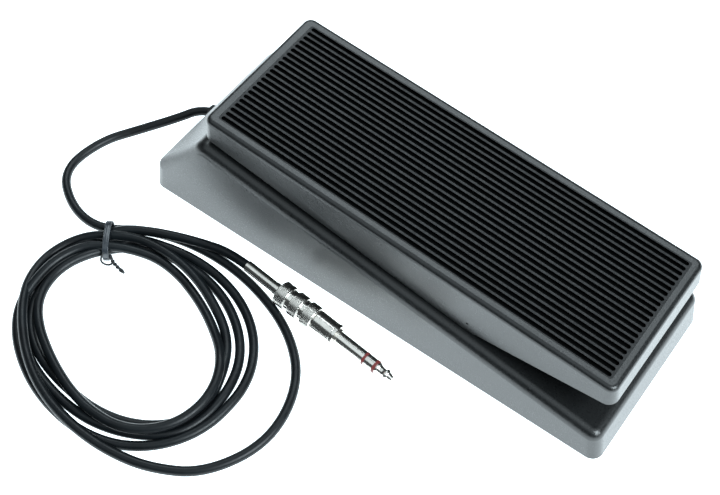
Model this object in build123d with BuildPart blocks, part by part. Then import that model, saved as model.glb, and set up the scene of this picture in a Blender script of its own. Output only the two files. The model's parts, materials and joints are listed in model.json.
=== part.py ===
from build123d import *
import os
from math import acos, cos, pi, radians, sin, tan

os.makedirs("parts", exist_ok=True)

# A rocker pedal of the volume and expression kind, with its own cable and stereo plug.
# Frame: +X from the toe end to the heel end, +Y across, +Z up, the origin on the floor
# under the middle of the housing. The treadle is modelled toe down, resting on its stop.

# ------------------------------------------------------------------ driving dimensions, mm
LENGTH = 245.0  # housing along X at its bottom edge
WIDTH = 89.0  # housing across Y at its bottom edge
WALL = 2.5
CORNER_R = 5.3
FOOT_H = 2.0
END_DRAFT = 9.5  # degrees
SIDE_DRAFT = 2.0
LIP_Z = 17.5  # top of the short toe wall
RAMP_ANGLE = 50.0
DECK_SLOPE = 9.0
DECK_Z0 = 38.2  # height of the deck plane above the floor at X = 0
DECK_FILLET = 4.5
CREST_FILLET = 8.0
PLATE_T = 2.0

TREAD_ORIGIN = (38.0, 57.15)  # X and Z of a point on the treadle's top plane
TREAD_TILT = 4.84
TREAD_TOE = 127.1  # from that point to the toe edge, along the top plane
TREAD_HEEL = 80.2
TREAD_HALF_W = 37.5
TREAD_R = 4.0
TREAD_SKIRT_R = 6.0
TREAD_EDGE_R = 2.3
TREAD_TOP = 4.3  # thickness of the top, from the rim down
HEEL_FLARE = 12.5
SIDE_FLARE = 2.0
TOE_FLARE = 1.0
SKIRT_APEX = (51.0, 30.9)  # the skirt's lower edge is a shallow V
SKIRT_TOE_SLOPE = -0.1726
SKIRT_HEEL_SLOPE = 0.128

PIVOT_X = 51.0
PIVOT_Z = 36.2
TRAVEL = 15.5  # degrees from toe down to heel down
AXLE_R = 3.0
BUSH_R = 4.0
LUG_R = 5.2
EAR_Y = 26.0  # outer face of the pivot bracket's ears
SHEET_T = 2.0
WASHER_T = 1.6

MAT_TOE = 122.2
MAT_HEEL = 76.2
MAT_HALF_W = 33.2
MAT_PITCH = 3.015
MAT_GROOVES = 22
MAT_T = 1.8
GROOVE_W = 2.0
GROOVE_DEPTH = 1.3

MODULE = 0.75
PRESSURE = radians(20.0)
PINION_TEETH = 16
SECTOR_TEETH = 128  # of a full wheel, of which only a few are cut
BACKLASH = 0.16
MESH_ANGLE = 195.0  # direction from the pivot to the potentiometer shaft
SECTOR_HALF_T = 2.0

CABLE_R = 2.25
COIL_H = 9.0  # two layers of cable

MID_Y = Plane.XZ
tilt = radians(TREAD_TILT)
slope = radians(DECK_SLOPE)
ramp = radians(RAMP_ANGLE)
tread_top = Plane(
    origin=(TREAD_ORIGIN[0], 0, TREAD_ORIGIN[1]),
    x_dir=(cos(tilt), 0, -sin(tilt)),
    z_dir=(sin(tilt), 0, cos(tilt)),
)


def deck_z(x, drop=0.0):
    """Height of the deck plane at x, or of the plane a distance drop under it."""
    return DECK_Z0 - tan(slope) * x - drop / cos(slope)


def deck_at(x, lift=0.0):
    """The plane that lies on the deck at x, raised along its normal by lift."""
    return Plane(
        origin=(x + lift * sin(slope), 0, deck_z(x) + lift * cos(slope)),
        x_dir=(cos(slope), 0, -sin(slope)),
        z_dir=(sin(slope), 0, cos(slope)),
    )


def across(y):
    """The X-Z plane at y, whose normal points along +Y and whose local x is world -X."""
    return Plane(origin=(0, y, 0), x_dir=(-1, 0, 0), z_dir=(0, 1, 0))


def outline(plane, points):
    """A closed straight-sided face on a plane."""
    with BuildSketch(plane) as drawn:
        with BuildLine():
            Polyline(*points, close=True)
        make_face()
    return drawn.sketch


def save(builder, label):
    builder.part.label = label
    export_step(builder.part, f"parts/{label}.step")


# ------------------------------------------------------------------ shared positions
lip_x = -LENGTH / 2 + (LIP_Z - FOOT_H) * tan(radians(END_DRAFT))
PLATE_Z = FOOT_H + PLATE_T
PIVOT_H = (PIVOT_Z - deck_z(PIVOT_X)) * cos(slope)  # the axle above the deck
BRACKET_X = PIVOT_X - PIVOT_H * sin(slope)
BRACKET_HALF_L = 8.0
BRACKET_SCREW_XY = [(x, y) for x in (-4.5, 4.5) for y in (-14.0, 14.0)]
BRACKET_PAD_T = 4.0
SCREW_R = 1.5
BOSS_R = 3.6
BOSS_XY = [(x, y) for x, y in ((-104, 33), (-20, 37), (108, 35))]
BOSS_XY = BOSS_XY + [(x, -y) for x, y in BOSS_XY]
BOSS_SCREW_L = 8.0
FEET_XY = [(x, y) for x in (-88, 92) for y in (-30, 30)]
FOOT_R = 6.0
SLOT_X = (-6.0, 40.0)
SLOT_HALF_W = 5.5
CABLE_Y = 2.0
CABLE_Z = 8.0
GROMMET_R = 3.6
BUMPER_R = 7.0
BUMPER_H = 6.0
BUMPER_PEG_R = 2.5
STOP_R = 5.0
STOP_GAP = 0.1
TOE_STOP_X = -75.0
HEEL_STOP_X = 103.0

sector_r = MODULE * SECTOR_TEETH / 2
pinion_r = MODULE * PINION_TEETH / 2
mesh = radians(MESH_ANGLE)
POT_X = PIVOT_X + (sector_r + pinion_r) * cos(mesh)
POT_Z = PIVOT_Z + (sector_r + pinion_r) * sin(mesh)
POT_PLATE_Y = 12.2
POT_PLATE_T = 1.5
POT_FOOT_Y = 28.0
POT_SCREW_XY = [(POT_X - 5.5, 23.5), (POT_X + 5.5, 23.5)]
POT_SCREW_R = 1.25
CLAMP_X = -106.0
CLAMP_SCREW_Y = CABLE_Y + 8.5

# ------------------------------------------------------------------ housing: base_shell
BLOCK_TOP = 62.0


def side_profile(inset):
    """The housing's side view: up the ramp from the lip, then down the deck to the heel."""
    ramp_z = LIP_Z - inset / cos(ramp)
    crest_x = (DECK_Z0 - inset / cos(slope) - ramp_z + tan(ramp) * lip_x) / (tan(ramp) + tan(slope))
    toe_x = lip_x - 12
    heel_x = LENGTH / 2 + 5
    return [
        (toe_x, ramp_z - 12 * tan(ramp)),
        (crest_x, deck_z(crest_x, inset)),
        (heel_x, deck_z(heel_x, inset)),
        (heel_x, FOOT_H - 3),
        (toe_x, FOOT_H - 3),
    ]


def housing_rectangle(inset, z):
    """The housing's drafted outline at height z, a distance inset inside its faces."""
    end = inset + (z - FOOT_H) * tan(radians(END_DRAFT))
    side = inset + (z - FOOT_H) * tan(radians(SIDE_DRAFT))
    RectangleRounded(LENGTH - 2 * end, WIDTH - 2 * side, CORNER_R - inset)


with BuildPart() as cavity:
    for cavity_z in (FOOT_H - 1, BLOCK_TOP):
        with BuildSketch(Plane.XY.offset(cavity_z)):
            housing_rectangle(WALL, cavity_z)
    loft(ruled=True)
    extrude(outline(MID_Y, side_profile(WALL)), amount=WIDTH, both=True, mode=Mode.INTERSECT)

with BuildPart() as base_shell:
    for block_z in (FOOT_H, BLOCK_TOP):
        with BuildSketch(Plane.XY.offset(block_z)):
            housing_rectangle(0, block_z)
    loft(ruled=True)
    extrude(outline(MID_Y, side_profile(0)), amount=WIDTH, both=True, mode=Mode.INTERSECT)
    crest = base_shell.edges().filter_by(Axis.Y).sort_by(Axis.Z)[-1]
    fillet(crest, CREST_FILLET)
    top_faces = base_shell.faces().filter_by(lambda f: f.normal_at().Z > 0.4)
    lip_or_heel = base_shell.edges().filter_by(Axis.Y).filter_by(lambda e: abs(e.center().X) > 100)
    sides = top_faces.edges().filter_by(lambda e: abs(e.center().Y) > 30)
    ends = lip_or_heel.filter_by(lambda e: e.center().Z > FOOT_H + 5)
    fillet(sides + ends, DECK_FILLET)
    add(cavity.part, mode=Mode.SUBTRACT)
    with BuildSketch(Plane.XY.offset(PLATE_Z)):
        with Locations(*BOSS_XY):
            Circle(BOSS_R)
    extrude(until=Until.NEXT)
    with BuildSketch(deck_at(BRACKET_X, -WALL / 2)):
        Rectangle(2 * BRACKET_HALF_L, 40)
    extrude(amount=-BRACKET_PAD_T - WALL / 2)
    with BuildSketch(Plane.XY.offset(PLATE_Z)):
        with Locations(*BOSS_XY):
            Circle(SCREW_R)
    extrude(amount=BOSS_SCREW_L, mode=Mode.SUBTRACT)
    with BuildSketch(Plane.XY.offset(DECK_Z0 - 15)):
        with Locations((sum(SLOT_X) / 2, 0)):
            RectangleRounded(SLOT_X[1] - SLOT_X[0], 2 * SLOT_HALF_W, 2)
    extrude(amount=30, mode=Mode.SUBTRACT)
    with BuildSketch(deck_at(BRACKET_X)):
        with Locations(*BRACKET_SCREW_XY):
            Circle(SCREW_R)
    extrude(amount=-WALL - BRACKET_PAD_T, mode=Mode.SUBTRACT)
    for stop_x in (TOE_STOP_X, HEEL_STOP_X):
        with BuildSketch(deck_at(stop_x)):
            Circle(BUMPER_PEG_R)
        extrude(amount=-WALL - 1, mode=Mode.SUBTRACT)
    with BuildSketch(Plane.YZ.offset(-LENGTH / 2)):
        with Locations((CABLE_Y, CABLE_Z)):
            Circle(GROMMET_R)
    extrude(amount=8, mode=Mode.SUBTRACT)
save(base_shell, "base_shell")

# ------------------------------------------------------------------ underside
FIT = 0.2
HEAD_R = 2.8
HEAD_H = 1.6


def drive_slots(radius):
    """A cross recess for a screwdriver."""
    Rectangle(2 * radius, radius / 3)
    Rectangle(radius / 3, 2 * radius)


with BuildPart() as base_plate:
    with BuildSketch(Plane.XY.offset(FOOT_H)):
        housing_rectangle(WALL + FIT, FOOT_H + PLATE_T)
    extrude(amount=PLATE_T)
    with Locations(Plane.XY.offset(FOOT_H)):
        with Locations(*BOSS_XY):
            Cylinder(SCREW_R + 0.1, 10, mode=Mode.SUBTRACT)
            Cone(HEAD_R + 0.05, SCREW_R, HEAD_H, mode=Mode.SUBTRACT,
                 align=(Align.CENTER, Align.CENTER, Align.MIN))
    for thread_x, thread_y in POT_SCREW_XY + [(CLAMP_X, CLAMP_SCREW_Y)]:
        with Locations((thread_x, thread_y, PLATE_Z)):
            Cylinder(POT_SCREW_R, 3, mode=Mode.SUBTRACT)
save(base_plate, "base_plate")

with BuildPart() as base_plate_screws:
    with Locations(*[(x, y, FOOT_H) for x, y in BOSS_XY]):
        Cone(HEAD_R, SCREW_R, HEAD_H, align=(Align.CENTER, Align.CENTER, Align.MIN))
        Cylinder(SCREW_R, BOSS_SCREW_L, align=(Align.CENTER, Align.CENTER, Align.MIN))
    with BuildSketch(Plane.XY.offset(FOOT_H)):
        with Locations(*BOSS_XY):
            drive_slots(1.6)
    extrude(amount=1.0, mode=Mode.SUBTRACT)
save(base_plate_screws, "base_plate_screws")

with BuildPart() as rubber_feet:
    with BuildSketch():
        with Locations(*FEET_XY):
            Circle(FOOT_R)
    extrude(amount=FOOT_H)
    chamfer(rubber_feet.edges().filter_by(lambda e: e.center().Z < 0.1), 0.5)
    with BuildSketch():
        with Locations(*FEET_XY):
            Circle(FOOT_R - 2.5)
    extrude(amount=0.5, mode=Mode.SUBTRACT)
save(rubber_feet, "rubber_feet")

# ------------------------------------------------------------------ pivot on the deck
bracket_floor = deck_at(BRACKET_X)
EAR_HALF_L = 5.5

with BuildPart() as pivot_bracket:
    with BuildSketch(bracket_floor):
        Rectangle(2 * BRACKET_HALF_L, 2 * EAR_Y)
    extrude(amount=SHEET_T)
    for side in (-1, 1):
        ear_face = Plane(
            origin=(BRACKET_X, side * EAR_Y, deck_z(BRACKET_X)),
            x_dir=bracket_floor.x_dir,
            z_dir=(0, side, 0),
        )
        up = -side
        with BuildSketch(ear_face):
            with BuildLine():
                Line((-BRACKET_HALF_L, 0), (BRACKET_HALF_L, 0))
                Line((BRACKET_HALF_L, 0), (EAR_HALF_L, up * PIVOT_H))
                ThreePointArc(
                    (EAR_HALF_L, up * PIVOT_H),
                    (0, up * (PIVOT_H + EAR_HALF_L)),
                    (-EAR_HALF_L, up * PIVOT_H),
                )
                Line((-EAR_HALF_L, up * PIVOT_H), (-BRACKET_HALF_L, 0))
            make_face()
        extrude(amount=-SHEET_T)
    with Locations(Location((PIVOT_X, 0, PIVOT_Z), (90, 0, 0))):
        Cylinder(AXLE_R, 2 * EAR_Y + 4, mode=Mode.SUBTRACT)
    with BuildSketch(bracket_floor):
        with Locations(*BRACKET_SCREW_XY):
            Circle(SCREW_R + 0.1)
    extrude(amount=SHEET_T, mode=Mode.SUBTRACT)
save(pivot_bracket, "pivot_bracket")

with BuildPart() as pivot_bracket_screws:
    with BuildSketch(deck_at(BRACKET_X, SHEET_T)):
        with Locations(*BRACKET_SCREW_XY):
            Circle(HEAD_R)
    extrude(amount=HEAD_H)
    heads = pivot_bracket_screws.faces().filter_by(lambda f: f.normal_at().Z > 0.9)
    fillet(heads.edges(), 0.5)
    with BuildSketch(deck_at(BRACKET_X, SHEET_T)):
        with Locations(*BRACKET_SCREW_XY):
            Circle(SCREW_R)
    extrude(amount=-SHEET_T - WALL - BRACKET_PAD_T + 0.5)
    with BuildSketch(deck_at(BRACKET_X, SHEET_T + HEAD_H)):
        with Locations(*BRACKET_SCREW_XY):
            drive_slots(1.6)
    extrude(amount=-1.0, mode=Mode.SUBTRACT)
save(pivot_bracket_screws, "pivot_bracket_screws")

AXLE_END = 33.0
CLIP_T = 1.0
CLIP_R = 5.2
CLIP_Y = EAR_Y - SHEET_T - CLIP_T
GROOVE_R = 2.5
on_pivot = (PIVOT_X, PIVOT_Z)


def ring_at(y, outer, inner, thickness):
    """A ring about the pivot, from y outwards by thickness."""
    side = 1 if y > 0 else -1
    with BuildSketch(Plane.XZ.offset(-y)) as drawn:
        with Locations(on_pivot):
            Circle(outer)
            if inner:
                Circle(inner, mode=Mode.SUBTRACT)
    return extrude(drawn.sketch, amount=-side * thickness, mode=Mode.PRIVATE)


with BuildPart() as pivot_axle:
    with Locations(Location((PIVOT_X, 0, PIVOT_Z), (90, 0, 0))):
        Cylinder(AXLE_R, 2 * AXLE_END)
    chamfer(pivot_axle.edges().filter_by(GeomType.CIRCLE), 0.5)
    for side in (-1, 1):
        add(ring_at(side * CLIP_Y, AXLE_R + 1, GROOVE_R, CLIP_T), mode=Mode.SUBTRACT)
save(pivot_axle, "pivot_axle")

with BuildPart() as axle_clips:
    for side in (-1, 1):
        add(ring_at(side * CLIP_Y, CLIP_R, GROOVE_R, CLIP_T))
    with Locations((PIVOT_X, 0, PIVOT_Z - 1.5)):
        Box(8.4, 3 * EAR_Y, CLIP_R, align=(Align.CENTER, Align.CENTER, Align.MAX), mode=Mode.SUBTRACT)
save(axle_clips, "axle_clips")

with BuildPart() as friction_washers:
    for side in (-1, 1):
        add(ring_at(side * EAR_Y, 5.0, AXLE_R, WASHER_T))
save(friction_washers, "friction_washers")


def bumper(x):
    """A round rubber bumper on the deck, with a peg down through it."""
    with BuildPart() as made:
        with BuildSketch(deck_at(x)):
            Circle(BUMPER_R)
        extrude(amount=BUMPER_H)
        fillet(made.edges().sort_by(Axis.Z)[-1], 1.0)
        with BuildSketch(deck_at(x)):
            Circle(BUMPER_PEG_R)
        extrude(amount=-WALL - 1)
    return made


toe_bumper = bumper(TOE_STOP_X)
save(toe_bumper, "toe_bumper")
heel_bumper = bumper(HEEL_STOP_X)
save(heel_bumper, "heel_bumper")

# ------------------------------------------------------------------ treadle
SKIRT_DEPTH = 45.0
PAD_U = (-26.0, 8.0)
PAD_HALF_W = 10.0
PAD_T = 4.0
FLANGE_T = 2.5
SECTOR_SCREW_UV = [(u, v) for u in (-21.0, 3.0) for v in (-6.5, 6.5)]
SECTOR_SCREW_R = 1.25
LUG_Y = (29.0, 36.0)
LUG_HALF_L = LUG_R


def treadle_rectangle(inset, depth):
    """The treadle's flared outline at a depth under its top plane."""
    toe = -TREAD_TOE - depth * tan(radians(TOE_FLARE)) + inset
    heel = TREAD_HEEL + depth * tan(radians(HEEL_FLARE)) - inset
    half_w = TREAD_HALF_W + depth * tan(radians(SIDE_FLARE)) - inset
    radius = TREAD_R + (TREAD_SKIRT_R - TREAD_R) * depth / SKIRT_DEPTH - inset
    with Locations(((toe + heel) / 2, 0)):
        RectangleRounded(heel - toe, 2 * half_w, radius)


def skirt_z(x):
    run = x - SKIRT_APEX[0]
    return SKIRT_APEX[1] + run * (SKIRT_HEEL_SLOPE if run > 0 else SKIRT_TOE_SLOPE)


def turned_back(x, z):
    """Where a point of the treadle at full travel stands when it is back at rest."""
    turn = radians(TRAVEL)
    dx = x - PIVOT_X
    dz = z - PIVOT_Z
    return (
        PIVOT_X + dx * cos(turn) - dz * sin(turn),
        PIVOT_Z + dx * sin(turn) + dz * cos(turn),
    )


with BuildPart() as under_treadle:
    for depth in (TREAD_TOP, SKIRT_DEPTH):
        with BuildSketch(tread_top.offset(-depth)):
            treadle_rectangle(WALL, depth)
    loft(ruled=True)

toe_stop_face = deck_at(TOE_STOP_X, BUMPER_H + STOP_GAP)
heel_touch = deck_at(HEEL_STOP_X, BUMPER_H + STOP_GAP)
heel_x, heel_z = turned_back(heel_touch.origin.X, heel_touch.origin.Z)
heel_lean = slope - radians(TRAVEL)
heel_stop_face = Plane(
    origin=(heel_x, 0, heel_z),
    x_dir=(cos(heel_lean), 0, -sin(heel_lean)),
    z_dir=(sin(heel_lean), 0, cos(heel_lean)),
)

with BuildPart() as treadle_shell:
    for depth in (0, SKIRT_DEPTH):
        with BuildSketch(tread_top.offset(-depth)):
            treadle_rectangle(0, depth)
    loft(ruled=True)
    skirt = [(-100, skirt_z(-100)), SKIRT_APEX, (140, skirt_z(140)), (140, 90), (-100, 90)]
    extrude(outline(MID_Y, skirt), amount=WIDTH, both=True, mode=Mode.INTERSECT)
    fillet(treadle_shell.faces().filter_by(lambda f: f.normal_at().Z > 0.99).edges(), TREAD_EDGE_R)
    add(under_treadle.part, mode=Mode.SUBTRACT)
    with BuildSketch(tread_top.offset(-TREAD_TOP)):
        with Locations((sum(PAD_U) / 2, 0)):
            RectangleRounded(PAD_U[1] - PAD_U[0], 2 * PAD_HALF_W, 1.5)
    extrude(amount=-PAD_T)
    with BuildSketch(toe_stop_face):
        Circle(STOP_R)
    extrude(until=Until.NEXT)
    with BuildSketch(heel_stop_face):
        Circle(STOP_R)
    extrude(until=Until.NEXT)
    for side in (-1, 1):
        with BuildSketch(Plane.XZ.offset(-side * LUG_Y[0])):
            with Locations(on_pivot):
                Circle(LUG_R)
                with Locations((0, 9)):
                    Rectangle(2 * LUG_HALF_L, 18)
        extrude(amount=-side * (LUG_Y[1] - LUG_Y[0] + 0.4))
        add(ring_at(side * (LUG_Y[0] - 1), BUSH_R, 0, 7.6), mode=Mode.SUBTRACT)
        add(ring_at(side * LUG_Y[0], 0.6, 0, 12), mode=Mode.SUBTRACT)
    with BuildSketch(tread_top.offset(-TREAD_TOP - PAD_T)):
        with Locations(*SECTOR_SCREW_UV):
            Circle(SECTOR_SCREW_R)
    extrude(amount=PAD_T - 0.5, mode=Mode.SUBTRACT)
    with BuildSketch(tread_top):
        with Locations(((MAT_HEEL - MAT_TOE) / 2, 0)):
            RectangleRounded(MAT_HEEL + MAT_TOE, 2 * MAT_HALF_W, 1.2)
    extrude(amount=-MAT_T, mode=Mode.SUBTRACT)
save(treadle_shell, "treadle_shell")

with BuildPart() as tread_mat:
    with BuildSketch(tread_top):
        with Locations(((MAT_HEEL - MAT_TOE) / 2, 0)):
            RectangleRounded(MAT_HEEL + MAT_TOE - 0.2, 2 * MAT_HALF_W - 0.2, 1.1)
    extrude(amount=-MAT_T)
    with BuildSketch(tread_top):
        with Locations(((MAT_HEEL - MAT_TOE) / 2, 0)):
            with GridLocations(0, MAT_PITCH, 1, MAT_GROOVES):
                SlotOverall(MAT_HEEL + MAT_TOE - 2.0, GROOVE_W)
    extrude(amount=-GROOVE_DEPTH, mode=Mode.SUBTRACT)
save(tread_mat, "tread_mat")

with BuildPart() as axle_bushes:
    for side in (-1, 1):
        add(ring_at(side * (EAR_Y + WASHER_T + STOP_GAP), 5.0, 0, LUG_Y[0] - EAR_Y - WASHER_T - STOP_GAP))
        add(ring_at(side * LUG_Y[0], BUSH_R, 0, 6.6))
        add(ring_at(side * (EAR_Y + WASHER_T), AXLE_R + 0.05, 0, AXLE_END + 1 - EAR_Y - WASHER_T),
            mode=Mode.SUBTRACT)
save(axle_bushes, "axle_bushes")

# ------------------------------------------------------------------ gearing to the potentiometer
GEAR_STEPS = 4
SECTOR_FIRST = -1
SECTOR_LAST = 7


def involute(angle):
    return tan(angle) - angle


def half_tooth(teeth, radius):
    """Half the angle that a tooth fills at a radius, in radians."""
    pitch = MODULE * teeth / 2
    base = pitch * cos(PRESSURE)
    at_radius = acos(min(1.0, base / radius))
    thinner = BACKLASH / 4 / pitch
    return pi / 2 / teeth + involute(PRESSURE) - involute(at_radius) - thinner


def tooth_points(teeth, root, tip, middle):
    """One tooth's outline about the gear's own axis, from its root up and back down."""
    radii = [root + (tip - root) * i / GEAR_STEPS for i in range(GEAR_STEPS + 1)]
    rising = [(r, middle - half_tooth(teeth, r)) for r in radii]
    falling = [(r, middle + half_tooth(teeth, r)) for r in reversed(radii)]
    return [(r * cos(a), r * sin(a)) for r, a in rising + falling]


def moved(points, x, z):
    return [(px + x, pz + z) for px, pz in points]


SECTOR_TIP = sector_r + 0.6
SECTOR_ROOT = sector_r - 0.94
PINION_TIP = pinion_r + 0.7
PINION_ROOT = pinion_r - 0.94
RIM_R = sector_r - 7.0

sector_step = 2 * pi / SECTOR_TEETH
sector_teeth = []
for tooth in range(SECTOR_FIRST, SECTOR_LAST + 1):
    sector_teeth += tooth_points(SECTOR_TEETH, SECTOR_ROOT, SECTOR_TIP, mesh + tooth * sector_step)
first_angle = mesh + (SECTOR_FIRST - 0.5) * sector_step
last_angle = mesh + (SECTOR_LAST + 0.5) * sector_step
rim_start = (SECTOR_ROOT * cos(first_angle), SECTOR_ROOT * sin(first_angle))
rim_end = (SECTOR_ROOT * cos(last_angle), SECTOR_ROOT * sin(last_angle))
rim_inner = (RIM_R * cos(last_angle), RIM_R * sin(last_angle))


def on_treadle(u, w):
    """World X and Z of a point u along the treadle's top and w above it."""
    return (
        TREAD_ORIGIN[0] + u * cos(tilt) + w * sin(tilt),
        TREAD_ORIGIN[1] - u * sin(tilt) + w * cos(tilt),
    )


flange_w = -TREAD_TOP - PAD_T
web_w = flange_w - FLANGE_T / 2
web = moved([rim_start] + sector_teeth + [rim_end, rim_inner], PIVOT_X, PIVOT_Z)
web += [(35.0, 30.5), on_treadle(PAD_U[1] - 3, web_w), on_treadle(PAD_U[0] + 2, web_w)]

with BuildPart() as sector_gear:
    extrude(outline(MID_Y, web), amount=SECTOR_HALF_T, both=True)
    with BuildSketch(tread_top.offset(flange_w)):
        with Locations((sum(PAD_U) / 2, 0)):
            RectangleRounded(PAD_U[1] - PAD_U[0], 2 * PAD_HALF_W, 1.5)
    extrude(amount=-FLANGE_T)
    with BuildSketch(tread_top.offset(flange_w)):
        with Locations(*SECTOR_SCREW_UV):
            Circle(SECTOR_SCREW_R + 0.1)
    extrude(amount=-FLANGE_T, mode=Mode.SUBTRACT)
save(sector_gear, "sector_gear")

with BuildPart() as sector_screws:
    with BuildSketch(tread_top.offset(flange_w - FLANGE_T)):
        with Locations(*SECTOR_SCREW_UV):
            Circle(2.3)
    extrude(amount=-1.6)
    with BuildSketch(tread_top.offset(flange_w - FLANGE_T)):
        with Locations(*SECTOR_SCREW_UV):
            Circle(SECTOR_SCREW_R)
    extrude(amount=FLANGE_T + PAD_T - 1.0)
    with BuildSketch(tread_top.offset(flange_w - FLANGE_T - 1.6)):
        with Locations(*SECTOR_SCREW_UV):
            drive_slots(1.3)
    extrude(amount=0.9, mode=Mode.SUBTRACT)
save(sector_screws, "sector_screws")

SHAFT_R = 3.0
SHAFT_FROM = -6.0
SHAFT_TO = 15.0
HUB_TO = 6.8
HUB_R = 5.5
BUSHING_FROM = 7.2
BUSHING_R = 3.5
SETSCREW_R = 1.0
at_pot = (POT_X, POT_Z)


def pot_disc(y_from, y_to, radius, bore=0.0):
    """A disc or a ring about the potentiometer's shaft."""
    with BuildSketch(Plane.XZ.offset(-y_from)) as drawn:
        with Locations(at_pot):
            Circle(radius)
            if bore:
                Circle(bore, mode=Mode.SUBTRACT)
    return extrude(drawn.sketch, amount=y_from - y_to, mode=Mode.PRIVATE)


with BuildPart() as pot_shaft:
    add(pot_disc(SHAFT_FROM, SHAFT_TO, SHAFT_R))
    chamfer(pot_shaft.edges().sort_by(Axis.Y)[0], 0.5)
    with Locations((POT_X, SHAFT_FROM, POT_Z)):
        Box(2 * SHAFT_R, 4, 1.0, mode=Mode.SUBTRACT)
save(pot_shaft, "pot_shaft")

pinion_outline = []
for tooth in range(PINION_TEETH):
    middle = mesh + pi + (tooth + 0.5) * 2 * pi / PINION_TEETH
    pinion_outline += tooth_points(PINION_TEETH, PINION_ROOT, PINION_TIP, middle)
setscrew_plane = Plane(
    origin=(POT_X, (3.0 + HUB_TO) / 2, POT_Z + SHAFT_R), x_dir=(1, 0, 0), z_dir=(0, 0, 1)
)

with BuildPart() as pinion_gear:
    extrude(outline(MID_Y, moved(pinion_outline, POT_X, POT_Z)), amount=3.0, both=True)
    add(pot_disc(3.0, HUB_TO, HUB_R))
    add(pot_disc(-3.0, HUB_TO, SHAFT_R), mode=Mode.SUBTRACT)
    with BuildSketch(setscrew_plane):
        Circle(SETSCREW_R)
    extrude(amount=HUB_R, mode=Mode.SUBTRACT)
save(pinion_gear, "pinion_gear")

with BuildPart() as pinion_setscrew:
    with BuildSketch(setscrew_plane):
        Circle(SETSCREW_R)
    extrude(amount=HUB_R - SHAFT_R - 0.3)
    with BuildSketch(setscrew_plane.offset(HUB_R - SHAFT_R - 0.3)):
        RegularPolygon(0.5, 6)
    extrude(amount=-1.0, mode=Mode.SUBTRACT)
save(pinion_setscrew, "pinion_setscrew")

PLATE_BACK_Y = POT_PLATE_Y + POT_PLATE_T
BODY_TO = PLATE_BACK_Y + 8.5
BODY_R = 8.25
TERMINAL_Y = 16.0
TERMINAL_Z = [POT_Z - 5, POT_Z, POT_Z + 5]
BLOCK_X = POT_X - 9.5
NUT_FROM = 9.2

with BuildPart() as pot_bracket:
    with Locations((POT_X, POT_PLATE_Y, PLATE_Z)):
        Box(22, POT_PLATE_T, POT_Z + 9 - PLATE_Z, align=(Align.CENTER, Align.MIN, Align.MIN))
        Box(22, POT_FOOT_Y - POT_PLATE_Y, POT_PLATE_T, align=(Align.CENTER, Align.MIN, Align.MIN))
    add(pot_disc(POT_PLATE_Y - 1, PLATE_BACK_Y + 1, BUSHING_R), mode=Mode.SUBTRACT)
    for screw_x, screw_y in POT_SCREW_XY:
        with Locations((screw_x, screw_y, PLATE_Z)):
            Cylinder(POT_SCREW_R + 0.1, 6, mode=Mode.SUBTRACT)
    fillet(pot_bracket.edges().filter_by(Axis.Y).sort_by(Axis.Z)[-2:], 3)
save(pot_bracket, "pot_bracket")

with BuildPart() as pot_bracket_screws:
    with Locations(*[(x, y, PLATE_Z + POT_PLATE_T) for x, y in POT_SCREW_XY]):
        Cylinder(2.3, 1.6, align=(Align.CENTER, Align.CENTER, Align.MIN))
        Cylinder(POT_SCREW_R, 3.0, align=(Align.CENTER, Align.CENTER, Align.MAX))
    with BuildSketch(Plane.XY.offset(PLATE_Z + POT_PLATE_T + 1.6)):
        with Locations(*POT_SCREW_XY):
            drive_slots(1.3)
    extrude(amount=-0.9, mode=Mode.SUBTRACT)
save(pot_bracket_screws, "pot_bracket_screws")

with BuildPart() as pot_body:
    add(pot_disc(PLATE_BACK_Y, BODY_TO, BODY_R))
    fillet(pot_body.edges().sort_by(Axis.Y)[-1], 0.8)
    with Locations((BLOCK_X, TERMINAL_Y, POT_Z)):
        Box(POT_X - BLOCK_X, 3.4, 13, align=(Align.MIN, Align.CENTER, Align.CENTER))
    add(pot_disc(BUSHING_FROM, PLATE_BACK_Y, BUSHING_R))
    add(pot_disc(BUSHING_FROM - 1, SHAFT_TO + 0.2, SHAFT_R + 0.05), mode=Mode.SUBTRACT)
save(pot_body, "pot_body")

with BuildPart() as pot_washer:
    add(pot_disc(POT_PLATE_Y - 0.5, POT_PLATE_Y, 6.0, BUSHING_R))
save(pot_washer, "pot_washer")

with BuildPart() as pot_nut:
    with BuildSketch(Plane.XZ.offset(-NUT_FROM)):
        with Locations(at_pot):
            RegularPolygon(5.0, 6, major_radius=False)
            Circle(BUSHING_R, mode=Mode.SUBTRACT)
    extrude(amount=-(POT_PLATE_Y - 0.5 - NUT_FROM))
save(pot_nut, "pot_nut")

TAB_L = 4.5

with BuildPart() as pot_terminals:
    for terminal_z in TERMINAL_Z:
        with Locations((BLOCK_X, TERMINAL_Y, terminal_z)):
            Box(TAB_L, 2.6, 0.6, align=(Align.MAX, Align.CENTER, Align.CENTER))
save(pot_terminals, "pot_terminals")

# ------------------------------------------------------------------ cable inside the housing
# Every cable route below is a list of points chosen by hand, in millimetres.
EXIT_X = -122.4  # the inner cable becomes the free cable here, level with the wall
CABLE_INSIDE = [
    (EXIT_X, CABLE_Y, CABLE_Z),
    (-84.0, CABLE_Y, CABLE_Z),
    (-56.0, 16.0, 10.0),
    (-30.0, 16.0, 10.0),
]
WIRE_R = 0.5


def bend_radii(label, points):
    """Arc radii that fill nine tenths of the shorter run at each corner of a route."""
    radii = []
    for before, here, after in zip(points, points[1:], points[2:]):
        run_in = Vector(*here) - Vector(*before)
        run_out = Vector(*after) - Vector(*here)
        half_turn = radians(run_in.get_angle(run_out)) / 2
        radii.append(0.45 * min(run_in.length, run_out.length) / tan(half_turn))
    print(label, "bend radii", [round(r, 1) for r in radii])
    return radii


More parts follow.
